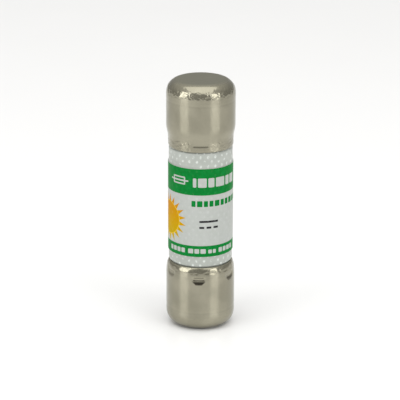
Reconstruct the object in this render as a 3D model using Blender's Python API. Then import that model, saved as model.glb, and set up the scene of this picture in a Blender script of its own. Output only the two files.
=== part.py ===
"""Cylindrical cartridge fuse, 10.3 x 38.1 mm (13/32 x 1-1/2 in).

Frame: origin at the centre of the lower end face, +Z along the fuse axis
towards the upper cap, -Y is the side that carries the middle of the label.
All driving dimensions are in millimetres and turned into metres on the way
into the mesh.
"""
import math

import bmesh
import bpy
from mathutils import Vector

# ---------------------------------------------------------------- dimensions
MM = 0.001
LENGTH = 38.1            # over both end faces
CAP_R = 5.15             # outside radius of the ferrules
CAP_WALL = 0.35
CAP_LEN = 10.1           # closed end to open edge
SHOULDER_R = 2.0         # rounding between end face and side
TUBE_R = 4.75
TUBE_BORE_R = 3.5
TUBE_END = 2.15          # distance of each tube end from the end face
LABEL_Z0, LABEL_Z1 = 11.9, 25.55
LABEL_R_IN = 4.77
LABEL_THICK = 0.10
LABEL_LAP = 28.0         # degrees of overlap at the seam
WASHER_R = 4.45
WASHER_S0, WASHER_S1 = 1.20, 2.10
SOLDER_R = 3.0
SOLDER_S0, SOLDER_S1 = 0.38, 1.16
ELEMENT_W = 2.4
ELEMENT_T = 0.12
ELEMENT_Y = 0.95         # offset of each ribbon from the axis
ELEMENT_END = 0.60       # distance of each ribbon end from the end face
NOTCH_R = 0.80
NOTCH_PITCH = 4.6
NOTCH_ROWS = 6
SPOT_R = 0.62
SPOT_H = 0.34
SAND_R = 3.46
SAND_END = 2.20
STAKES = 6
SEG = 60                 # facets round the axis, shared by every round piece

# crimp profiles: (radius, distance from the closed end), outside and inside
LOWER_OUT = [(5.15, 7.40), (5.145, 7.95), (5.14, 8.18), (5.13, 8.40),
             (5.115, 8.62), (5.10, 8.85), (5.05, 9.25), (4.98, 9.58),
             (4.88, 9.86), (4.77, 10.03), (4.66, 10.10)]
LOWER_IN = [(4.53, 10.08), (4.48, 9.92), (4.56, 9.62), (4.67, 9.25),
            (4.76, 8.85), (4.767, 8.62), (4.775, 8.40), (4.782, 8.18),
            (4.79, 7.95), (4.80, 7.40)]
UPPER_OUT = [(5.15, 6.80), (5.12, 7.25), (5.03, 7.75), (4.92, 8.25),
             (4.865, 8.65), (4.855, 8.90), (4.85, 9.05), (4.85, 9.20),
             (4.85, 9.35), (4.85, 9.50), (4.84, 9.80), (4.80, 10.02),
             (4.73, 10.10)]
UPPER_IN = [(4.55, 10.10), (4.50, 9.98), (4.50, 9.50), (4.50, 9.20),
            (4.505, 8.90), (4.53, 8.45), (4.64, 7.95), (4.75, 7.40),
            (4.80, 6.85)]
# stake marks: distance from the closed end, half height, half width, depth
LOWER_STAKE = (8.40, 0.55, 1.05, 0.15)
UPPER_STAKE = (9.20, 0.40, 1.25, 0.07)
# lower marks that sit off the pitch: along the arc, along the axis
LOWER_SHIFT = {0: (-0.23, -0.26), 1: (0.0, -0.15), 5: (0.0, 0.27)}


def clear_scene():
    for ob in list(bpy.data.objects):
        bpy.data.objects.remove(ob, do_unlink=True)


def material(name, color, rough, metal):
    m = bpy.data.materials.new(name)
    m.use_nodes = True
    b = next(n for n in m.node_tree.nodes if n.type == "BSDF_PRINCIPLED")
    b.inputs["Base Color"].default_value = (*color, 1.0)
    b.inputs["Roughness"].default_value = rough
    b.inputs["Metallic"].default_value = metal
    m.diffuse_color = (*color, 1.0)
    return m


def link(name, bm, mat, smooth=True):
    bmesh.ops.recalc_face_normals(bm, faces=bm.faces)
    me = bpy.data.meshes.new(name)
    bm.to_mesh(me)
    bm.free()
    me.materials.append(mat)
    for p in me.polygons:
        p.use_smooth = smooth
    ob = bpy.data.objects.new(name, me)
    bpy.context.scene.collection.objects.link(ob)
    return ob


def sharpen(ob, degrees=32.0):
    """Round sides shade smooth, edges steeper than the limit stay crisp."""
    me = ob.data
    bm = bmesh.new()
    bm.from_mesh(me)
    for e in bm.edges:
        if len(e.link_faces) == 2:
            e.smooth = e.calc_face_angle(0.0) < math.radians(degrees)
    bm.to_mesh(me)
    bm.free()
    return ob


def stake_depth(spec, theta, s, shift):
    """Radial depth of the ring of stake marks at an angle and a height."""
    s0, half_h, half_w, depth = spec
    t = (theta + math.pi / 2.0) / (2.0 * math.pi / STAKES)
    k = round(t)
    along, up = shift.get(int(k) % STAKES, (0.0, 0.0))
    off = (t - k) * (2.0 * math.pi / STAKES) * CAP_R - along
    a = abs(off) / half_w
    b = abs(s - s0 - up) / half_h
    if a >= 1.0 or b >= 1.0:
        return 0.0
    return depth * (math.cos(a * math.pi / 2) * math.cos(b * math.pi / 2)) ** 0.8


def revolve(profile, seg=SEG, dent=None, closed=False):
    """Turn (radius, z) points round Z. A zero radius becomes a pole."""
    bm = bmesh.new()
    rings = []
    for r, z in profile:
        if r < 1e-6:
            rings.append([bm.verts.new((0, 0, z * MM))])
            continue
        ring = []
        for i in range(seg):
            th = 2.0 * math.pi * i / seg
            rr = r - (dent(th, z) if dent else 0.0)
            ring.append(bm.verts.new((rr * MM * math.cos(th),
                                      rr * MM * math.sin(th), z * MM)))
        rings.append(ring)
    pairs = list(zip(rings, rings[1:]))
    if closed:
        pairs.append((rings[-1], rings[0]))
    for a, b in pairs:
        if len(a) == 1 and len(b) == 1:
            continue
        for i in range(seg):
            j = (i + 1) % seg
            if len(a) == 1:
                bm.faces.new((a[0], b[i], b[j]))
            elif len(b) == 1:
                bm.faces.new((a[i], a[j], b[0]))
            else:
                bm.faces.new((a[i], a[j], b[j], b[i]))
    return bm


def cap(name, out_crimp, in_crimp, spec, upper, mat):
    """Drawn cup: flat end, rounded shoulder, straight side, crimped edge."""
    flat_r = CAP_R - SHOULDER_R
    inner = SHOULDER_R - CAP_WALL
    pts = [(0.0, 0.0), (flat_r, 0.0)]
    steps = 7
    for k in range(1, steps + 1):
        a = math.pi / 2 * k / steps
        pts.append((flat_r + SHOULDER_R * math.sin(a),
                    SHOULDER_R * (1 - math.cos(a))))
    pts += out_crimp
    pts += in_crimp
    for k in range(5, -1, -1):
        a = math.pi / 2 * k / 5
        pts.append((flat_r + inner * math.sin(a),
                    SHOULDER_R - inner * math.cos(a)))
    pts.append((0.0, CAP_WALL))
    if upper:
        prof = [(r, LENGTH - s) for r, s in pts]
        dent = lambda th, z: stake_depth(spec, th, LENGTH - z, {})
    else:
        prof = pts
        dent = lambda th, z: stake_depth(spec, th, z, LOWER_SHIFT)
    return sharpen(link(name, revolve(prof, dent=dent), mat), 40.0)


def tube(mat):
    """Tube with a swaged neck under each crimp and a row of stake dents."""
    top = LENGTH
    low = [(TUBE_R - 0.15, TUBE_END), (TUBE_R, TUBE_END + 0.15),
           (TUBE_R, 7.40), (TUBE_R, 7.95), (4.745, 8.18), (4.74, 8.40), (4.73, 8.62),
           (4.72, 8.85), (4.63, 9.25), (4.52, 9.62), (4.44, 9.90),
           (4.44, 10.12), (TUBE_R, 10.38)]
    up = [(TUBE_R - 0.15, TUBE_END), (TUBE_R, TUBE_END + 0.15),
          (TUBE_R, 6.85), (4.70, 7.40), (4.59, 7.95), (4.49, 8.45),
          (4.47, 8.90), (4.465, 9.20), (4.465, 9.50), (4.465, 10.12),
          (TUBE_R, 10.38)]
    outer = low + [(r, top - s) for r, s in reversed(up)]
    bore = [(TUBE_BORE_R, top - TUBE_END), (TUBE_BORE_R, TUBE_END)]

    def dent(th, z):
        if z < LENGTH / 2:
            return stake_depth(LOWER_STAKE, th, z, LOWER_SHIFT)
        return stake_depth(UPPER_STAKE, th, top - z, {})

    return sharpen(link("body_tube", revolve(outer + bore, dent=dent,
                                             closed=True), mat), 40.0)


def label(mat):
    """Printed wrap: one strip whose end laps over its start at the back."""
    bm = bmesh.new()
    step = 2.0 * math.pi / SEG
    start = math.pi / 2 - math.radians(LABEL_LAP) / 2
    count = SEG + int(round(math.radians(LABEL_LAP) / step))
    ramp = 2
    rows = []
    for i in range(count + 1):
        th = start + i * step
        k = (i - (count - int(round(math.radians(LABEL_LAP) / step)) - ramp)) / ramp
        lift = min(1.0, max(0.0, k)) * (LABEL_THICK + 0.03)
        ri, ro = LABEL_R_IN + lift, LABEL_R_IN + lift + LABEL_THICK
        c, s = math.cos(th), math.sin(th)
        rows.append([bm.verts.new((r * MM * c, r * MM * s, z * MM))
                     for r, z in ((ri, LABEL_Z0), (ro, LABEL_Z0),
                                  (ro, LABEL_Z1), (ri, LABEL_Z1))])
    for a, b in zip(rows, rows[1:]):
        for k in range(4):
            bm.faces.new((a[k], a[(k + 1) % 4], b[(k + 1) % 4], b[k]))
    bm.faces.new(rows[0])
    bm.faces.new(rows[-1])
    return sharpen(link("rating_label", bm, mat), 32.0)


def block(name, size, at):
    """Plain box used only as a cutter."""
    bm = bmesh.new()
    bmesh.ops.create_cube(bm, size=1.0)
    for v in bm.verts:
        v.co = Vector(((v.co.x * size[0] + at[0]) * MM,
                       (v.co.y * size[1] + at[1]) * MM,
                       (v.co.z * size[2] + at[2]) * MM))
    me = bpy.data.meshes.new(name)
    bm.to_mesh(me)
    bm.free()
    ob = bpy.data.objects.new(name, me)
    bpy.context.scene.collection.objects.link(ob)
    ob.hide_render = True
    ob.display_type = "WIRE"
    return ob


def cut(ob, cutter):
    m = ob.modifiers.new("cut_" + cutter.name, "BOOLEAN")
    m.operation = "DIFFERENCE"
    m.solver = "EXACT"
    m.object = cutter


def slotted_disc(name, r, s0, s1, upper, edge, mat):
    """Disc with two through slots for the ribbons, edges broken."""
    prof = [(0.0, s0), (r - edge, s0), (r, s0 + edge), (r, s1 - edge),
            (r - edge, s1), (0.0, s1)]
    if upper:
        prof = [(rr, LENGTH - s) for rr, s in prof]
    ob = link(name, revolve(prof), mat)
    sharpen(ob, 32.0)
    mid = (s0 + s1) / 2
    mid = LENGTH - mid if upper else mid
    for tag, y in (("a", -ELEMENT_Y), ("b", ELEMENT_Y)):
        cut(ob, block(name + "_slot_" + tag,
                      (ELEMENT_W + 0.10, ELEMENT_T + 0.10, (s1 - s0) + 1.0),
                      (0.0, y, mid)))
    return ob


def ribbon(name, y, mat):
    """Flat strip narrowed by opposed round notches in even rows."""
    half = ELEMENT_W / 2
    z0, z1 = ELEMENT_END, LENGTH - ELEMENT_END
    rows = [LENGTH / 2 + (k - (NOTCH_ROWS - 1) / 2) * NOTCH_PITCH
            for k in range(NOTCH_ROWS)]
    arc = 8
    right = [(half, z0)]
    for zc in rows:
        for k in range(arc + 1):
            a = math.pi * k / arc
            right.append((half - NOTCH_R * math.sin(a),
                          zc - NOTCH_R * math.cos(a)))
    right.append((half, z1))
    outline = right + [(-x, z) for x, z in reversed(right)]
    bm = bmesh.new()
    front = [bm.verts.new((x * MM, (y - ELEMENT_T / 2) * MM, z * MM))
             for x, z in outline]
    back = [bm.verts.new((x * MM, (y + ELEMENT_T / 2) * MM, z * MM))
            for x, z in outline]
    n = len(outline)
    bm.faces.new(front)
    bm.faces.new(list(reversed(back)))
    for i in range(n):
        j = (i + 1) % n
        bm.faces.new((front[j], front[i], back[i], back[j]))
    ob = link(name, bm, mat, smooth=False)
    return ob


def spot(name, y, out, mat):
    """Low bead of tin on the outer face of a ribbon."""
    bm = bmesh.new()
    base = y + out * (ELEMENT_T / 2 + 0.02)
    seg, lat = 16, 4
    rings = []
    for k in range(lat):
        a = math.pi / 2 * k / lat
        r, h = SPOT_R * math.cos(a), SPOT_H * math.sin(a)
        rings.append([bm.verts.new((r * MM * math.cos(2 * math.pi * i / seg),
                                    (base + out * h) * MM,
                                    (LENGTH / 2 + r * math.sin(
                                        2 * math.pi * i / seg)) * MM))
                      for i in range(seg)])
    tip = bm.verts.new((0.0, (base + out * SPOT_H) * MM, LENGTH / 2 * MM))
    for a, b in zip(rings, rings[1:]):
        for i in range(seg):
            j = (i + 1) % seg
            bm.faces.new((a[i], a[j], b[j], b[i]))
    for i in range(seg):
        bm.faces.new((rings[-1][i], rings[-1][(i + 1) % seg], tip))
    bm.faces.new(rings[0])
    return sharpen(link(name, bm, mat), 50.0)


def sand(mat):
    """Compacted quartz column with a channel round each ribbon."""
    s0 = SAND_END
    prof = [(0.0, s0), (SAND_R, s0), (SAND_R, LENGTH - s0), (0.0, LENGTH - s0)]
    ob = link("sand_filler", revolve(prof), mat)
    sharpen(ob, 32.0)
    for tag, out in (("a", -1.0), ("b", 1.0)):
        y = out * ELEMENT_Y
        cut(ob, block("sand_channel_" + tag,
                      (ELEMENT_W + 0.10, ELEMENT_T + 0.10, LENGTH), (0.0, y, LENGTH / 2)))
        depth = SPOT_H + 0.16
        cut(ob, block("sand_pocket_" + tag,
                      (2 * SPOT_R + 0.12, depth, 2 * SPOT_R + 0.12),
                      (0.0, y + out * (ELEMENT_T / 2 + depth / 2 - 0.03), LENGTH / 2)))
    return ob


def build():
    clear_scene()
    nickel = material("nickel_plate", (0.60, 0.57, 0.50), 0.26, 1.0)
    melamine = material("glass_melamine", (0.66, 0.67, 0.66), 0.55, 0.0)
    print_film = material("label_film", (0.80, 0.82, 0.80), 0.38, 0.0)
    fibre = material("vulcanised_fibre", (0.42, 0.16, 0.09), 0.75, 0.0)
    solder = material("tin_solder", (0.55, 0.56, 0.58), 0.35, 1.0)
    silver = material("silvered_copper", (0.86, 0.80, 0.72), 0.22, 1.0)
    tin = material("tin_bead", (0.68, 0.69, 0.70), 0.30, 1.0)
    quartz = material("quartz_sand", (0.76, 0.72, 0.63), 0.95, 0.0)

    tube(melamine)
    label(print_film)
    cap("lower_end_cap", LOWER_OUT, LOWER_IN, LOWER_STAKE, False, nickel)
    cap("upper_end_cap", UPPER_OUT, UPPER_IN, UPPER_STAKE, True, nickel)
    for side, upper in (("lower", False), ("upper", True)):
        slotted_disc(side + "_end_washer", WASHER_R, WASHER_S0, WASHER_S1,
                     upper, 0.08, fibre)
        slotted_disc(side + "_solder_joint", SOLDER_R, SOLDER_S0, SOLDER_S1,
                     upper, 0.15, solder)
    ribbon("fuse_element_a", -ELEMENT_Y, silver)
    ribbon("fuse_element_b", ELEMENT_Y, silver)
    spot("m_spot_a", -ELEMENT_Y, -1.0, tin)
    spot("m_spot_b", ELEMENT_Y, 1.0, tin)
    sand(quartz)


build()
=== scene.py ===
"""Looks for the 10 x 38 mm cartridge fuse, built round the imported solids."""
import math

import bmesh
import bpy
from mathutils import Matrix, Vector, noise
from mathutils.geometry import delaunay_2d_cdt


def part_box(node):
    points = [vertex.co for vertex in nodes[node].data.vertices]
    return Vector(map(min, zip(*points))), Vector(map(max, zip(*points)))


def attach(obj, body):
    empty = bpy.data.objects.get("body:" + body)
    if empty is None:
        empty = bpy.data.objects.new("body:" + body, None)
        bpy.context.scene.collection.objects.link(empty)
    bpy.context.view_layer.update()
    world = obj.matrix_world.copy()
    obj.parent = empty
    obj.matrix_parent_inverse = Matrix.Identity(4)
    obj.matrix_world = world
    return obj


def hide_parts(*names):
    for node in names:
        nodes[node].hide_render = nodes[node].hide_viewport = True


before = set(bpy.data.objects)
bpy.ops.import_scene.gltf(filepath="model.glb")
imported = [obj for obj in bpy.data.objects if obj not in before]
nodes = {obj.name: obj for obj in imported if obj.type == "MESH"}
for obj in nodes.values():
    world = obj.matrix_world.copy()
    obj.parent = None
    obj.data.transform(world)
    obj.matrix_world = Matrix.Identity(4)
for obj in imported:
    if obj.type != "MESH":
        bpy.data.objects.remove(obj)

MM = 0.001
lo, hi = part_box("upper_end_cap")
LENGTH = hi.z / MM
CAP_R = 5.15
CAP_WALL = 0.35
SHOULDER_R = 2.0
LABEL_Z0, LABEL_Z1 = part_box("rating_label")[0].z / MM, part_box("rating_label")[1].z / MM
LABEL_R_IN, LABEL_THICK, LABEL_LAP = 4.77, 0.10, 28.0
TUBE_R, TUBE_BORE_R, TUBE_END = 4.75, 3.5, 2.15


# ------------------------------------------------------------ node helpers
class Tree:
    """Short hand for building a node tree."""

    def __init__(self, tree):
        self.t = tree

    def new(self, kind, **props):
        n = self.t.nodes.new(kind)
        for k, v in props.items():
            setattr(n, k, v)
        return n

    def put(self, socket, value):
        if isinstance(value, bpy.types.NodeSocket):
            self.t.links.new(value, socket)
        elif value is not None:
            socket.default_value = value

    def math(self, op, a, b=None, c=None, clamp=False):
        n = self.new("ShaderNodeMath", operation=op, use_clamp=clamp)
        self.put(n.inputs[0], a)
        self.put(n.inputs[1], b)
        self.put(n.inputs[2], c)
        return n.outputs[0]

    def step(self, x, a, b):
        """0 below a, 1 above b, smooth in between (a may exceed b)."""
        n = self.new("ShaderNodeMapRange", interpolation_type="SMOOTHSTEP")
        self.put(n.inputs["Value"], x)
        if a < b:
            n.inputs["From Min"].default_value = a
            n.inputs["From Max"].default_value = b
        else:
            n.inputs["From Min"].default_value = b
            n.inputs["From Max"].default_value = a
            n.inputs["To Min"].default_value = 1.0
            n.inputs["To Max"].default_value = 0.0
        return n.outputs[0]

    def remap(self, x, a, b, c, d):
        n = self.new("ShaderNodeMapRange")
        self.put(n.inputs["Value"], x)
        for k, v in (("From Min", a), ("From Max", b), ("To Min", c), ("To Max", d)):
            n.inputs[k].default_value = v
        return n.outputs[0]

    def mix(self, f, a, b):
        n = self.new("ShaderNodeMix", data_type="RGBA")
        self.put(n.inputs[0], f)
        self.put(n.inputs[6], a)
        self.put(n.inputs[7], b)
        return n.outputs[2]

    def noise(self, vec, scale, detail=3.0, rough=0.5):
        n = self.new("ShaderNodeTexNoise")
        self.put(n.inputs["Vector"], vec)
        n.inputs["Scale"].default_value = scale
        n.inputs["Detail"].default_value = detail
        n.inputs["Roughness"].default_value = rough
        return n.outputs["Fac"]

    def ramp(self, f, stops):
        n = self.new("ShaderNodeValToRGB")
        self.put(n.inputs[0], f)
        e = n.color_ramp.elements
        while len(e) < len(stops):
            e.new(0.5)
        for el, (p, c) in zip(e, stops):
            el.position = p
            el.color = (*c, 1.0)
        return n.outputs[0]


def rgba(c):
    return (*c, 1.0)


def srgb(r, g, b):
    f = lambda v: ((v / 255 + 0.055) / 1.055) ** 2.4 if v > 10 else v / 255 / 12.92
    return (f(r), f(g), f(b))


def new_material(name):
    m = bpy.data.materials.new(name)
    m.use_nodes = True
    t = Tree(m.node_tree)
    bsdf = next(n for n in m.node_tree.nodes if n.type == "BSDF_PRINCIPLED")
    return m, t, bsdf


def object_xyz(t):
    c = t.new("ShaderNodeTexCoord").outputs["Object"]
    s = t.new("ShaderNodeSeparateXYZ")
    t.put(s.inputs[0], c)
    return c, s.outputs


def bump(t, bsdf, height, distance, strength=1.0):
    b = t.new("ShaderNodeBump")
    b.inputs["Strength"].default_value = strength
    b.inputs["Distance"].default_value = distance
    t.put(b.inputs["Height"], height)
    t.put(bsdf.inputs["Normal"], b.outputs[0])


# --------------------------------------------------------------- materials
def nickel_material():
    """Nickel plate over drawn brass: warm grey, soft blur, fine handling marks."""
    m, t, b = new_material("nickel_plate_look")
    co, xyz = object_xyz(t)
    tone = t.noise(co, 260.0, 3.0)
    spots = t.noise(co, 2600.0, 2.0)
    base = t.mix(t.step(tone, 0.35, 0.7), rgba((0.280, 0.265, 0.202)), rgba((0.340, 0.322, 0.248)))
    tarn = t.math("MULTIPLY", t.step(spots, 0.62, 0.78), 0.22)
    # painted shade in the stake marks of the lower cap, only on the stakes facing the front
    stakes = 6
    turn = t.math("MULTIPLY", t.math("ADD", t.math("ARCTAN2", xyz[1], xyz[0]), math.pi / 2), stakes / (2 * math.pi))
    off = t.math("SUBTRACT", turn, t.math("ROUND", turn))
    off = t.math("MULTIPLY", off, 2 * math.pi / stakes * 5.15)
    zmm = t.math("MULTIPLY", xyz[2], 1000.0)
    near = t.step(xyz[1], 0.0, -0.0008)
    middle = t.math("MULTIPLY", near, t.step(t.math("ABSOLUTE", xyz[0]), 0.0030, 0.0025))
    right = t.math("MULTIPLY", near, t.step(xyz[0], 0.0027, 0.0031))
    left = t.math("MULTIPLY", near, t.step(xyz[0], -0.0027, -0.0031))
    off = t.math("ABSOLUTE", t.math("ADD", off, t.math("MULTIPLY", middle, 0.23)))
    zmm = t.math("ADD", zmm, t.math("MULTIPLY", middle, 0.26))
    zmm = t.math("ADD", zmm, t.math("MULTIPLY", right, 0.20))
    zmm = t.math("SUBTRACT", zmm, t.math("MULTIPLY", left, 0.27))
    taper = t.math("ADD", off, t.math("MULTIPLY", t.math("SUBTRACT", 8.20, zmm), 0.85))
    # painted shade on the floor and along the lip of each front stake mark
    pit_floor_shade = t.math("MULTIPLY", t.step(taper, 0.96, 0.78), t.math("MULTIPLY", t.step(zmm, 7.68, 7.80), t.step(zmm, 8.26, 8.14)))
    pit_lip_shade = t.math("MULTIPLY", t.step(off, 0.95, 0.80), t.math("MULTIPLY", t.step(zmm, 8.34, 8.42), t.step(zmm, 8.58, 8.50)))
    pit = t.math("MAXIMUM", pit_floor_shade, t.math("MULTIPLY", pit_lip_shade, t.math("MULTIPLY", middle, 0.7)))
    # how strong the painted shade is on the middle, left and right stake
    pit_shade_strength = t.math("SUBTRACT", 0.92, t.math("ADD", t.math("MULTIPLY", left, 0.68), t.math("MULTIPLY", right, 0.26)))
    # darken the base colour towards near black where the shade is painted
    base = t.mix(t.math("MULTIPLY", pit, pit_shade_strength), base, rgba((0.055, 0.048, 0.035)))
    # the flat ends are satin and rougher than the drawn sides; their darker colour is painted shade on the end faces
    end = t.step(t.math("ABSOLUTE", t.math("SUBTRACT", xyz[2], LENGTH / 2 * MM)), 0.01874, 0.01902)
    base = t.mix(t.math("MULTIPLY", end, 0.85), base, rgba((0.228, 0.224, 0.180)))
    t.put(b.inputs["Base Color"], t.mix(tarn, base, rgba((0.19, 0.175, 0.13))))
    b.inputs["Metallic"].default_value = 1.0
    r1 = t.noise(co, 900.0, 4.0, 0.6)
    t.put(b.inputs["Roughness"], t.math("ADD", t.remap(r1, 0.3, 0.7, 0.15, 0.235), t.math("MULTIPLY", end, 0.37)))
    # drawing lines along the side, tumbling marks everywhere, rings on the end
    ang = t.math("ARCTAN2", xyz[1], xyz[0])
    rad = t.math("SQRT", t.math("ADD", t.math("MULTIPLY", xyz[0], xyz[0]),
                                t.math("MULTIPLY", xyz[1], xyz[1])))
    comb = t.new("ShaderNodeCombineXYZ")
    t.put(comb.inputs[0], t.math("MULTIPLY", ang, 0.005))
    t.put(comb.inputs[1], t.math("MULTIPLY", rad, 1.0))
    t.put(comb.inputs[2], t.math("MULTIPLY", xyz[2], 0.08))
    lines = t.noise(comb.outputs[0], 5200.0, 2.0)
    peel = t.noise(co, 2100.0, 3.0, 0.55)
    h = t.math("ADD", t.math("MULTIPLY", lines, 0.35), t.math("MULTIPLY", peel, 0.65))
    bump(t, b, h, 0.000010, 0.30)
    return m


def laminate_material():
    """Glass-cloth melamine: pale grey resin with the weave showing as flecks."""
    m, t, b = new_material("glass_melamine_look")
    co, xyz = object_xyz(t)
    arc = t.math("MULTIPLY", t.math("ARCTAN2", xyz[0], t.math("MULTIPLY", xyz[1], -1.0)), 0.00475)
    weave = weave_fac(t, arc, xyz[2])
    cloud = t.noise(co, 700.0, 3.0)
    base = t.mix(t.step(cloud, 0.3, 0.75), rgba((0.362, 0.384, 0.352)), rgba((0.418, 0.440, 0.404)))
    t.put(b.inputs["Base Color"], t.mix(weave, base, rgba((0.64, 0.675, 0.64))))
    t.put(b.inputs["Roughness"], t.remap(weave, 0.0, 1.0, 0.42, 0.26))
    b.inputs["IOR"].default_value = 1.5
    bump(t, b, weave, 0.00002, 0.5)
    return m


def weave_fac(t, arc, z):
    """Diamond lattice of bright knuckles, uneven from one to the next."""
    pitch = 0.00112
    u = t.math("DIVIDE", arc, pitch)
    v = t.math("DIVIDE", z, pitch * 1.25)
    a = t.math("ADD", u, v)
    c = t.math("SUBTRACT", u, v)
    sa = t.math("SINE", t.math("MULTIPLY", a, math.pi))
    sc = t.math("SINE", t.math("MULTIPLY", c, math.pi))
    knot = t.math("MULTIPLY", t.math("MULTIPLY", sa, sa), t.math("MULTIPLY", sc, sc))
    comb = t.new("ShaderNodeCombineXYZ")
    t.put(comb.inputs[0], arc)
    t.put(comb.inputs[1], z)
    vary = t.noise(comb.outputs[0], 1500.0, 2.0)
    return t.math("MULTIPLY", t.step(knot, 0.34, 0.86), t.step(vary, 0.38, 0.60))


def film_material(name, color, dark, rough=0.34, weave_amount=0.10, ramp=None, gloss=0.16):
    """Printed film: the ink with slight mottling, and the cloth telegraphing."""
    m, t, b = new_material(name)
    co, xyz = object_xyz(t)
    arc = t.math("MULTIPLY", t.math("ARCTAN2", xyz[0], t.math("MULTIPLY", xyz[1], -1.0)), 0.00487)
    weave = weave_fac(t, arc, xyz[2])
    mott = t.noise(co, 1800.0, 4.0, 0.6)
    if ramp:
        z0, z1, stops = ramp
        tint = t.ramp(t.remap(xyz[2], z0, z1, 0.0, 1.0), stops)
        base = t.mix(t.math("MULTIPLY", t.step(mott, 0.35, 0.75), 0.25), tint, rgba(dark))
    else:
        base = t.mix(t.step(mott, 0.30, 0.75), rgba(color), rgba(dark))
    t.put(b.inputs["Base Color"],
          t.mix(t.math("MULTIPLY", weave, weave_amount), base, rgba((0.9, 0.92, 0.9))))
    t.put(b.inputs["Roughness"], t.remap(mott, 0.3, 0.7, rough - 0.04, rough + 0.08))
    b.inputs["IOR"].default_value = 1.48
    b.inputs["Specular IOR Level"].default_value = gloss
    bump(t, b, t.math("ADD", t.math("MULTIPLY", weave, 0.6), t.math("MULTIPLY", mott, 0.4)),
         0.000012, 0.35)
    return m


def plain_noise_material(name, c0, c1, r0, r1, metal, scale, depth, strength=0.6):
    """Two-tone mottled finish with matching roughness and relief."""
    m, t, b = new_material(name)
    co, _ = object_xyz(t)
    f = t.noise(co, scale, 4.0, 0.6)
    t.put(b.inputs["Base Color"], t.mix(t.step(f, 0.3, 0.7), rgba(c0), rgba(c1)))
    t.put(b.inputs["Roughness"], t.remap(f, 0.3, 0.7, r0, r1))
    b.inputs["Metallic"].default_value = metal
    bump(t, b, f, depth, strength)
    return m


# ------------------------------------------------------------------ shapes
def catmull(points, per=4):
    """Smooth curve through the points, as a list of (a, b)."""
    out = []
    n = len(points)
    for i in range(n - 1):
        p0, p1 = points[max(i - 1, 0)], points[i]
        p2, p3 = points[i + 1], points[min(i + 2, n - 1)]
        for k in range(per):
            f = k / per
            f2, f3 = f * f, f * f * f
            out.append(tuple(
                0.5 * (2 * b + (c - a) * f + (2 * a - 5 * b + 4 * c - d) * f2
                       + (3 * b - a - 3 * c + d) * f3)
                for a, b, c, d in zip(p0, p1, p2, p3)))
    out.append(tuple(points[-1]))
    return out


LOWER_OUT = [(5.15, 7.40), (5.145, 7.95), (5.14, 8.18), (5.13, 8.40),
             (5.115, 8.62), (5.10, 8.85), (5.05, 9.25), (4.98, 9.58),
             (4.88, 9.86), (4.77, 10.03), (4.66, 10.10)]
LOWER_IN = [(4.53, 10.08), (4.48, 9.92), (4.56, 9.62), (4.67, 9.25),
            (4.76, 8.85), (4.767, 8.62), (4.775, 8.40), (4.782, 8.18),
            (4.79, 7.95), (4.80, 7.40)]
UPPER_OUT = [(5.15, 6.80), (5.12, 7.25), (5.03, 7.75), (4.92, 8.25),
             (4.865, 8.65), (4.855, 8.90), (4.85, 9.05), (4.85, 9.20),
             (4.85, 9.35), (4.85, 9.50), (4.84, 9.80), (4.80, 10.02),
             (4.73, 10.10)]
UPPER_IN = [(4.55, 10.10), (4.50, 9.98), (4.50, 9.50), (4.50, 9.20),
            (4.505, 8.90), (4.53, 8.45), (4.64, 7.95), (4.75, 7.40),
            (4.80, 6.85)]


def smooth(x):
    x = min(1.0, max(0.0, x))
    return x * x * (3 - 2 * x)


def stake_offset(theta, count=6):
    """Arc distance in mm to the nearest stake, and which one it is."""
    t = (theta + math.pi / 2) / (2 * math.pi / count)
    k = round(t)
    return (t - k) * (2 * math.pi / count) * CAP_R, int(k) % count


def lower_relief(theta, s):
    """Punched stakes under the rolled edge of the lower cap, not quite level."""
    off, k = stake_offset(theta)
    high = s
    off += {0: 0.23}.get(k, 0.0)
    s += {0: 0.26, 1: 0.15, 5: -0.27}.get(k, 0.0)
    w = 1.12 + 0.05 * math.sin(k * 2.4)
    a = abs(off) / w
    if a < 1.0:
        across = smooth((1 - a) / 0.38)
        up = smooth((8.98 - s) / 0.26)
        down = smooth((s - 7.80 - 0.30 * a * a) / 0.62)
        d = {5: 0.10}.get(k, 0.16) * across * up * down
    else:
        d = 0.0
    halo = 0.018 * math.exp(-(off / 1.7) ** 2 - ((s - 8.4) / 0.8) ** 2)
    p = Vector((math.cos(theta) * 7.0, math.sin(theta) * 7.0, high * 1.6))
    rim = smooth((high - 9.0) / 0.3) * smooth((10.08 - high) / 0.15)
    return d + halo + 0.045 * rim * max(0.0, 0.25 + noise.noise(p) + 0.4 * noise.noise(p * 2.1))


def upper_relief(theta, s):
    """Shallow punched flats with a crisp lower lip, and chatter between them."""
    off, k = stake_offset(theta)
    side = k in (1, 5)                   # hardly struck in the photo, only chatter shows
    across = smooth((1.32 - abs(off)) / 0.30)
    d = (0.012 if side else 0.055) * across * smooth((s - 8.35) / 0.75) * smooth((9.36 - s) / 0.30)
    mid = 1.0 - 0.35 * across if side else smooth((abs(off) - 1.45) / 0.5)
    band = smooth((s - 8.25) / 0.35) * smooth((9.98 - s) / 0.12)
    p = Vector((math.cos(theta) * 9.5, math.sin(theta) * 9.5, s * 2.3))
    d += mid * band * 0.055 * max(-0.25, noise.noise(p) + 0.55 * noise.noise(p * 2.3) + 0.12)
    return d


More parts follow.
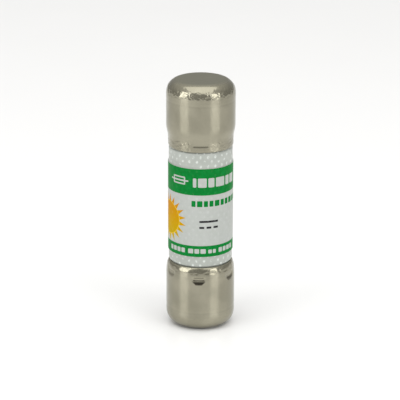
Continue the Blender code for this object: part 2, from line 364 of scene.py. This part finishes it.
def crazing(theta, s):
    """Fine wrinkles where the sheet was drawn round the shoulder."""
    fade = smooth((s - 0.30) / 0.50) * smooth((2.25 - s) / 0.35)
    if fade <= 0.0:
        return 0.0
    p = Vector((math.cos(theta) * 12.5, math.sin(theta) * 12.5, s * 2.5))
    d = 0.036 * fade * max(0.0, 0.5 + noise.noise(p) + 0.4 * noise.noise(p * 1.7))
    fine = smooth((s - 0.80) / 0.35) * smooth((2.05 - s) / 0.25)
    q = Vector((math.cos(theta) * 23.0, math.sin(theta) * 23.0, s * 4.6 + 7.0))
    turn = (theta + 1.5 * math.pi) % (2 * math.pi) - math.pi
    rough = 0.016 + 0.024 * math.exp(-(turn / 0.34) ** 2)
    return d + rough * fine * max(0.0, 0.3 + noise.noise(q) + 0.4 * noise.noise(q * 1.6))


def ring_relief(s):
    """Faint line left by the drawing punch, just below the shoulder."""
    return 0.011 * math.exp(-((s - 3.00) / 0.17) ** 2)


def wobble(theta, s, seed):
    """Slight unevenness of thin drawn metal."""
    p = Vector((math.cos(theta) * 1.6 + seed, math.sin(theta) * 1.6, s * 0.35))
    return 0.010 * noise.noise(p)


def revolved(name, profile, seg, radial=None, closed=False):
    verts, faces, rings = [], [], []
    for r, z in profile:
        if r < 1e-6:
            rings.append((len(verts), 1))
            verts.append((0.0, 0.0, z * MM))
            continue
        rings.append((len(verts), seg))
        for i in range(seg):
            th = 2 * math.pi * i / seg
            rr = r - (radial(th, r, z) if radial else 0.0)
            verts.append((rr * MM * math.cos(th), rr * MM * math.sin(th), z * MM))
    pairs = list(zip(rings, rings[1:]))
    if closed:
        pairs.append((rings[-1], rings[0]))
    for (a, na), (b, nb) in pairs:
        if na == 1 and nb == 1:
            continue
        for i in range(seg):
            j = (i + 1) % seg
            if na == 1:
                faces.append((a, b + i, b + j))
            elif nb == 1:
                faces.append((a + i, a + j, b))
            else:
                faces.append((a + i, a + j, b + j, b + i))
    return make_mesh(name, verts, faces)


def make_mesh(name, verts, faces, sharp=None):
    me = bpy.data.meshes.new(name)
    me.from_pydata(verts, [], faces)
    bm = bmesh.new()
    bm.from_mesh(me)
    bmesh.ops.recalc_face_normals(bm, faces=bm.faces)
    if sharp:
        for e in bm.edges:
            if len(e.link_faces) == 2:
                e.smooth = e.calc_face_angle(0.0) < math.radians(sharp)
    bm.to_mesh(me)
    bm.free()
    for p in me.polygons:
        p.use_smooth = True
    ob = bpy.data.objects.new(name, me)
    bpy.context.scene.collection.objects.link(ob)
    return ob


def cap_piece(name, out_crimp, in_crimp, relief, upper, seed, mat):
    flat_r = CAP_R - SHOULDER_R
    inner = SHOULDER_R - CAP_WALL
    outside = [(flat_r * k / 6.0, 0.0) for k in range(7)]
    steps = 40
    for k in range(1, steps + 1):
        a = math.pi / 2 * k / steps
        outside.append((flat_r + SHOULDER_R * math.sin(a), SHOULDER_R * (1 - math.cos(a))))
    s = SHOULDER_R
    for k in range(1, 22):
        outside.append((CAP_R, SHOULDER_R + 1.9 * k / 21))
    s_mid = out_crimp[0][1]
    first = outside[-1][1]
    for k in range(1, 7):
        outside.append((CAP_R, first + (s_mid - first) * k / 7.0))
    outside += catmull(out_crimp, 7)
    inside = catmull(in_crimp, 3)
    for k in range(8, -1, -1):
        a = math.pi / 2 * k / 8
        inside.append((flat_r + inner * math.sin(a), SHOULDER_R - inner * math.cos(a)))
    inside.append((0.0, CAP_WALL))
    profile = outside + inside
    marks = [True] * len(outside) + [False] * len(inside)
    z = lambda s: LENGTH - s if upper else s
    table = {}
    for (r, s), m in zip(profile, marks):
        table[(round(r, 6), round(z(s), 6))] = (s, m)

    def radial(th, r, zz):
        s, out = table[(round(r, 6), round(zz, 6))]
        if s < SHOULDER_R * 0.9:
            return crazing(th, s) if out else 0.0
        d = relief(th, s) if s > 7.0 else 0.0
        if out:
            fade = smooth((s - SHOULDER_R * 0.9) / 1.2)
            d += crazing(th, s) + ring_relief(s) + max(0.0, wobble(th, s, seed) * fade + 0.004 * fade)
        return d

    ob = revolved(name, [(r, z(s)) for r, s in profile], 336 if upper else 256, radial)
    ob.data.materials.append(mat)
    return ob


def tube_piece(mat):
    top = LENGTH
    low = [(TUBE_R - 0.15, TUBE_END), (TUBE_R, TUBE_END + 0.15),
           (TUBE_R, 7.40), (TUBE_R, 7.95), (4.745, 8.18), (4.74, 8.40), (4.73, 8.62),
           (4.72, 8.85), (4.63, 9.25), (4.52, 9.62), (4.44, 9.90),
           (4.44, 10.12), (4.50, 10.20), (4.66, 10.31), (4.735, 10.38), (TUBE_R, 10.46)]
    up = [(TUBE_R - 0.15, TUBE_END), (TUBE_R, TUBE_END + 0.15),
          (TUBE_R, 6.85), (4.70, 7.40), (4.59, 7.95), (4.49, 8.45),
          (4.47, 8.90), (4.465, 9.20), (4.465, 9.50), (4.465, 10.12),
          (4.52, 10.20), (4.67, 10.31), (4.735, 10.38), (TUBE_R, 10.46)]
    outer = low + [(r, top - s) for r, s in reversed(up)]
    bore = [(TUBE_BORE_R, top - TUBE_END), (TUBE_BORE_R, TUBE_END)]

    def radial(th, r, z):
        if r <= TUBE_BORE_R + 1e-6:
            return 0.0
        if 7.2 < z < 9.6:
            return lower_relief(th, z)
        s = top - z
        if 8.0 < s < 9.6:
            off, _ = stake_offset(th)
            return 0.10 * smooth((1.32 - abs(off)) / 0.30) * smooth((s - 8.35) / 0.75) + 0.02
        return 0.0

    ob = revolved("tube_laminate", outer + bore, 192, radial, closed=True)
    ob.data.materials.append(mat)
    return ob


# ------------------------------------------------------------------- label
START = 90.0 - LABEL_LAP / 2          # angle of the strip's first edge
TURN = 360.0 + LABEL_LAP
R_OUT = LABEL_R_IN + LABEL_THICK


def u_at(phi):
    """Distance along the strip of a place phi degrees right of the front."""
    return math.radians(270.0 + phi - START) * R_OUT


def rect(u0, z0, u1, z1, r=0.0, n=4):
    if r <= 0:
        return [(u0, z0), (u1, z0), (u1, z1), (u0, z1)]
    pts = []
    for cx, cz, a0 in ((u1 - r, z0 + r, -90), (u1 - r, z1 - r, 0),
                       (u0 + r, z1 - r, 90), (u0 + r, z0 + r, 180)):
        for k in range(n + 1):
            a = math.radians(a0 + 90.0 * k / n)
            pts.append((cx + r * math.cos(a), cz + r * math.sin(a)))
    return pts


def bars(phi, z0, height, widths, gap, slot, r=0.12):
    """A row of rounded bars, standing for a line of print."""
    out = []
    u = u_at(phi)
    for w in widths:
        out.append((rect(u, z0, u + w, z0 + height, r), slot))
        u += w + gap
    return out


def disc(cu, cz, r, n=48):
    return [(cu + r * math.cos(2 * math.pi * k / n), cz + r * math.sin(2 * math.pi * k / n))
            for k in range(n)]


def sun(phi, cz, r, tip, rays):
    """Plain sun sign: a disc, a thin ring and straight pointed rays."""
    cu = u_at(phi)
    out = []
    for k in range(rays):
        a = 2 * math.pi * (k + 0.5) / rays
        h = math.pi / rays * 0.86
        pts = [(cu + rr * math.cos(b), cz + rr * math.sin(b))
               for rr, b in ((r + 0.02, a - h), (tip, a), (r + 0.02, a + h))]
        out.append((pts, 3))
    out.append((disc(cu, cz, r + 0.14), 4))
    out.append((disc(cu, cz, r), 3))
    return out


def print_shapes():
    """(polygon, ink) in painting order. Inks: 0 film, 1 green, 2 black, 3 sun, 4 ring."""
    full = u_at(194.0) + 0.1
    shapes = []
    shapes.append((rect(-0.1, 21.50, full, LABEL_Z1 + 0.1), 1))
    shapes.append((rect(-0.1, LABEL_Z0 - 0.1, full, 13.62), 1))
    # fuse sign on the upper band: a box with the conductor through it
    cu, cz = u_at(-41.0), 23.62
    shapes.append((rect(cu - 1.62, cz - 0.12, cu + 1.62, cz + 0.12, 0.05), 0))
    shapes.append((rect(cu - 1.12, cz - 0.62, cu + 1.12, cz + 0.62, 0.14), 0))
    shapes.append((rect(cu - 0.90, cz - 0.40, cu + 0.90, cz - 0.12, 0.06), 1))
    shapes.append((rect(cu - 0.90, cz + 0.12, cu + 0.90, cz + 0.40, 0.06), 1))
    shapes += bars(-13.5, 22.72, 1.42, [0.52, 1.30, 0.95, 1.55, 0.80, 1.25], 0.24, 0, 0.16)
    # heading line on the film
    shapes += bars(-16.0, 19.72, 0.92, [0.62, 0.80, 0.62, 0.62, 0.80, 0.62, 0.62, 0.80, 0.62, 0.62], 0.22, 1, 0.10)
    # direct current sign
    u = u_at(-2.0)
    shapes.append((rect(u, 17.25, u + 2.9, 17.57, 0.05), 2))
    for k in range(3):
        shapes.append((rect(u + k * 1.08, 16.32, u + k * 1.08 + 0.74, 16.64, 0.05), 2))
    # line of print on the lower band
    shapes += bars(-63.0, 12.42, 0.72, [0.62, 0.62, 0.62, 0.62], 0.16, 0, 0.12)
    shapes += bars(-22.0, 12.42, 0.72, [0.80, 0.72, 0.80], 0.18, 0, 0.12)
    shapes += bars(14.0, 12.42, 0.60, [0.55, 0.50], 0.16, 0, 0.12)
    shapes += bars(34.0, 12.42, 0.72, [0.62, 0.62, 0.72, 0.62], 0.16, 0, 0.12)
    shapes += sun(-70.0, 17.25, 2.48, 3.75, 19)
    # small print and a second fuse sign round the back
    for row, widths in enumerate(([1.6, 0.7, 1.1, 1.9], [0.8, 1.7, 1.3, 0.9], [2.1, 0.6, 1.4])):
        shapes += bars(92.0, 19.0 - 1.15 * row, 0.42, widths, 0.26, 2, 0.08)
    cu, cz = u_at(112.0), 15.2
    shapes.append((rect(cu - 1.5, cz - 0.07, cu + 1.5, cz + 0.07), 2))
    shapes.append((rect(cu - 0.95, cz - 0.45, cu + 0.95, cz + 0.45), 2))
    shapes.append((rect(cu - 0.81, cz - 0.31, cu + 0.81, cz - 0.07), 0))
    shapes.append((rect(cu - 0.81, cz + 0.07, cu + 0.81, cz + 0.31), 0))
    shapes += bars(112.0, 22.9, 1.1, [1.2, 0.9, 1.5, 0.7], 0.26, 0, 0.14)
    return shapes


def inside(poly, x, y):
    hit = False
    n = len(poly)
    for i in range(n):
        x0, y0 = poly[i]
        x1, y1 = poly[(i + 1) % n]
        if (y0 > y) != (y1 > y) and x < (x1 - x0) * (y - y0) / (y1 - y0) + x0:
            hit = not hit
    return hit


def clip(poly, zmin, zmax, umin, umax):
    """Keep the part of a convex or star polygon that lies on the film."""
    def half(pts, axis, lim, keep_low):
        out = []
        for i, p in enumerate(pts):
            q = pts[(i + 1) % len(pts)]
            pin = p[axis] <= lim if keep_low else p[axis] >= lim
            qin = q[axis] <= lim if keep_low else q[axis] >= lim
            if pin:
                out.append(p)
            if pin != qin:
                f = (lim - p[axis]) / (q[axis] - p[axis])
                out.append((p[0] + (q[0] - p[0]) * f, p[1] + (q[1] - p[1]) * f))
        return out
    for axis, lim, low in ((1, zmax, True), (1, zmin, False), (0, umax, True), (0, umin, False)):
        poly = half(poly, axis, lim, low)
        if len(poly) < 3:
            return []
    return poly


def label_piece(mats):
    total = math.radians(TURN) * R_OUT
    cols = 132
    shapes = [(clip(p, LABEL_Z0, LABEL_Z1, 0.0, total), k) for p, k in print_shapes()]
    shapes = [(p, k) for p, k in shapes if len(p) > 2]
    verts, edges = [], []

    def chain(pts, loop=True):
        base = len(verts)
        verts.extend(Vector(p) for p in pts)
        n = len(pts)
        for i in range(n if loop else n - 1):
            edges.append((base + i, base + (i + 1) % n))

    chain([(0, LABEL_Z0), (total, LABEL_Z0), (total, LABEL_Z1), (0, LABEL_Z1)])
    for i in range(1, cols):
        u = total * i / cols
        chain([(u, LABEL_Z0), (u, LABEL_Z1)], loop=False)
    for i in range(1, 10):
        zz = LABEL_Z0 + (LABEL_Z1 - LABEL_Z0) * i / 10 + 0.013
        chain([(0, zz), (total, zz)], loop=False)
    for p, _ in shapes:
        chain(p)
    vo, _, fo, _, _, _ = delaunay_2d_cdt(verts, edges, [], 0, 1e-5)
    boxes = [(min(x for x, _ in p), max(x for x, _ in p), min(y for _, y in p), max(y for _, y in p))
             for p, _ in shapes]
    slots = []
    for f in fo:
        cx = sum(vo[i].x for i in f) / 3
        cy = sum(vo[i].y for i in f) / 3
        ink = 0
        for (p, k), b in zip(shapes, boxes):
            if b[0] <= cx <= b[1] and b[2] <= cy <= b[3] and inside(p, cx, cy):
                ink = k
        slots.append(ink)
    lap0 = math.radians(TURN - LABEL_LAP - 10.0) * R_OUT
    lap1 = math.radians(TURN - LABEL_LAP + 2.0) * R_OUT

    def place(u, z, r):
        lift = smooth((u - lap0) / (lap1 - lap0)) * (LABEL_THICK + 0.028)
        th = math.radians(START) + u / R_OUT
        rr = (r + lift) * MM
        return (rr * math.cos(th), rr * math.sin(th), z * MM)

    n = len(vo)
    pts = [place(v.x, v.y, R_OUT) for v in vo] + [place(v.x, v.y, LABEL_R_IN) for v in vo]
    faces = [tuple(f) for f in fo] + [tuple(i + n for i in reversed(f)) for f in fo]
    count = {}
    for f in fo:
        for a, b in zip(f, list(f[1:]) + [f[0]]):
            count[(a, b)] = count.get((a, b), 0) + 1
    side = 0
    for (a, b) in list(count):
        if (b, a) not in count:
            faces.append((b, a, a + n, b + n))
            side += 1
    me = bpy.data.meshes.new("label_wrap")
    me.from_pydata(pts, [], faces)
    for m in mats:
        me.materials.append(m)
    for i, p in enumerate(me.polygons):
        p.material_index = slots[i] if i < len(fo) else 0
        p.use_smooth = True
    bm = bmesh.new()
    bm.from_mesh(me)
    bmesh.ops.recalc_face_normals(bm, faces=bm.faces)
    for e in bm.edges:
        if len(e.link_faces) == 2:
            e.smooth = e.calc_face_angle(0.0) < math.radians(40)
    bm.to_mesh(me)
    bm.free()
    ob = bpy.data.objects.new("label_wrap", me)
    bpy.context.scene.collection.objects.link(ob)
    return ob


# ------------------------------------------------------------------- build
nickel = nickel_material()
laminate = laminate_material()
inks = [
    film_material("film_white", (0.446, 0.464, 0.442), (0.418, 0.440, 0.412), 0.42, 0.07),
    film_material("ink_green", (0.002, 0.165, 0.024), (0.004, 0.205, 0.036), 0.40, 0.012, None, 0.05),
    film_material("ink_black", (0.016, 0.016, 0.018), (0.030, 0.030, 0.032), 0.34, 0.04),
    film_material("ink_sun", (0.56, 0.32, 0.004), (0.46, 0.27, 0.003), 0.45, 0.02,
                  (0.0138, 0.0202, [(0.0, (0.46, 0.35, 0.002)), (0.38, (0.52, 0.31, 0.001)),
                                    (0.70, (0.54, 0.26, 0.001)), (1.0, (0.52, 0.21, 0.004))]), 0.04),
    film_material("ink_ring", (0.68, 0.46, 0.045), (0.62, 0.40, 0.03), 0.45, 0.02, None, 0.04),
]

lower = cap_piece("lower_cap_shell", LOWER_OUT, LOWER_IN, lower_relief, False, 0.0, nickel)
upper = cap_piece("upper_cap_shell", UPPER_OUT, UPPER_IN, upper_relief, True, 7.3, nickel)
tube = tube_piece(laminate)
label = label_piece(inks)
for piece, node, slot in ((lower, "lower_end_cap", "nickel_plate"),
                          (upper, "upper_end_cap", "nickel_plate"),
                          (tube, "body_tube", "glass_melamine"),
                          (label, "rating_label", "label_film")):
    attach(piece, "root")
    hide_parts(node)

fibre = plain_noise_material("fibre_look", (0.36, 0.12, 0.07), (0.48, 0.19, 0.11), 0.65, 0.85, 0.0, 2600.0, 0.00003)
solder = plain_noise_material("solder_look", (0.46, 0.47, 0.49), (0.60, 0.61, 0.63), 0.24, 0.48, 1.0, 1500.0, 0.00004)
silver = plain_noise_material("silver_look", (0.80, 0.74, 0.66), (0.90, 0.86, 0.80), 0.16, 0.30, 1.0, 1900.0, 0.00001)
tin = plain_noise_material("tin_look", (0.60, 0.61, 0.63), (0.74, 0.75, 0.76), 0.20, 0.38, 1.0, 2200.0, 0.00002)
quartz = plain_noise_material("quartz_look", (0.62, 0.56, 0.45), (0.86, 0.83, 0.76), 0.80, 0.98, 0.0, 4200.0, 0.00008, 1.0)
for node, mat in (("upper_end_washer", fibre), ("lower_end_washer", fibre),
                  ("upper_solder_joint", solder), ("lower_solder_joint", solder),
                  ("fuse_element_a", silver), ("fuse_element_b", silver),
                  ("m_spot_a", tin), ("m_spot_b", tin), ("sand_filler", quartz)):
    ob = nodes[node]
    if not ob.material_slots:
        ob.data.materials.append(mat)
    for s in ob.material_slots:
        s.material = mat

# ------------------------------------------------------------------- stage
size = 3.0
fm = bpy.data.meshes.new("floor")
fm.from_pydata([(-size, -size, 0), (size, -size, 0), (size, size, 0), (-size, size, 0)],
               [], [(0, 1, 2, 3)])
floor = bpy.data.objects.new("floor", fm)
bpy.context.scene.collection.objects.link(floor)
floor.location.z = -0.00002
mat, t, b = new_material("floor_paper")
co, xyz = object_xyz(t)
t.put(b.inputs["Base Color"], t.mix(t.noise(co, 40.0), rgba((0.90, 0.90, 0.90)), rgba((0.915, 0.915, 0.915))))
b.inputs["Roughness"].default_value = 0.26
b.inputs["IOR"].default_value = 1.45
fm.materials.append(mat)

world = bpy.data.worlds.new("studio")
bpy.context.scene.world = world
world.use_nodes = True
wt = world.node_tree
wt.nodes.clear()
w = Tree(wt)
d = w.new("ShaderNodeTexCoord").outputs["Generated"]
sx = w.new("ShaderNodeSeparateXYZ")
w.put(sx.inputs[0], d)
bg = w.new("ShaderNodeBackground")
w.put(bg.inputs["Color"], w.mix(w.step(sx.outputs[2], 0.20, 0.92), rgba((0.47, 0.47, 0.46)), rgba((0.90, 0.895, 0.88))))
bg.inputs["Strength"].default_value = 1.0
out = w.new("ShaderNodeOutputWorld")
wt.links.new(bg.outputs[0], out.inputs["Surface"])


def softbox(name, azimuth, elevation, distance, wide, high, radiance):
    """A rectangular softbox aimed at the fuse; azimuth 0 is the front (-Y), + is to the right."""
    l = bpy.data.lights.new(name, "AREA")
    l.shape = "RECTANGLE"
    l.size, l.size_y = wide, high
    l.energy = radiance * math.pi * wide * high
    o = bpy.data.objects.new(name, l)
    a, e = math.radians(azimuth), math.radians(elevation)
    target = Vector((0, 0, LENGTH / 2 * MM))
    o.location = target + distance * Vector((math.sin(a) * math.cos(e), -math.cos(a) * math.cos(e), math.sin(e)))
    o.rotation_euler = (target - o.location).to_track_quat("-Z", "Y").to_euler()
    bpy.context.scene.collection.objects.link(o)
    return o


softbox("left_box", -57.0, 18.0, 0.60, 0.30, 0.34, 3.0)
softbox("right_box", 49.0, 18.0, 0.60, 0.30, 0.34, 3.0)
softbox("top_box", 0.0, 74.0, 0.75, 1.00, 0.95, 1.20)

# ------------------------------------------------------------------ camera
ELEV, DIST, SCALE = math.radians(18.2), 0.300, 6.670
cam_data = bpy.data.cameras.new("camera")
cam = bpy.data.objects.new("camera", cam_data)
bpy.context.scene.collection.objects.link(cam)
cam_data.sensor_width = 36.0
cam_data.lens = 36.0 * SCALE * DIST / MM / 400.0
cam_data.clip_start = 0.01
cam_data.clip_end = 20.0
centre = Vector((0, 0, LENGTH / 2 * MM))
cam.location = centre + DIST * Vector((0, -math.cos(ELEV), math.sin(ELEV)))
aim = centre + Vector((-0.54 / SCALE * MM, 0, 1.20 / SCALE / math.cos(ELEV) * MM))
rot = (aim - cam.location).to_track_quat("-Z", "Y").to_matrix().to_4x4()
cam.matrix_world = Matrix.Translation(cam.location) @ rot @ Matrix.Rotation(math.radians(0.2), 4, "Z")
bpy.context.scene.camera = cam
bpy.context.scene.view_settings.view_transform = "Standard"
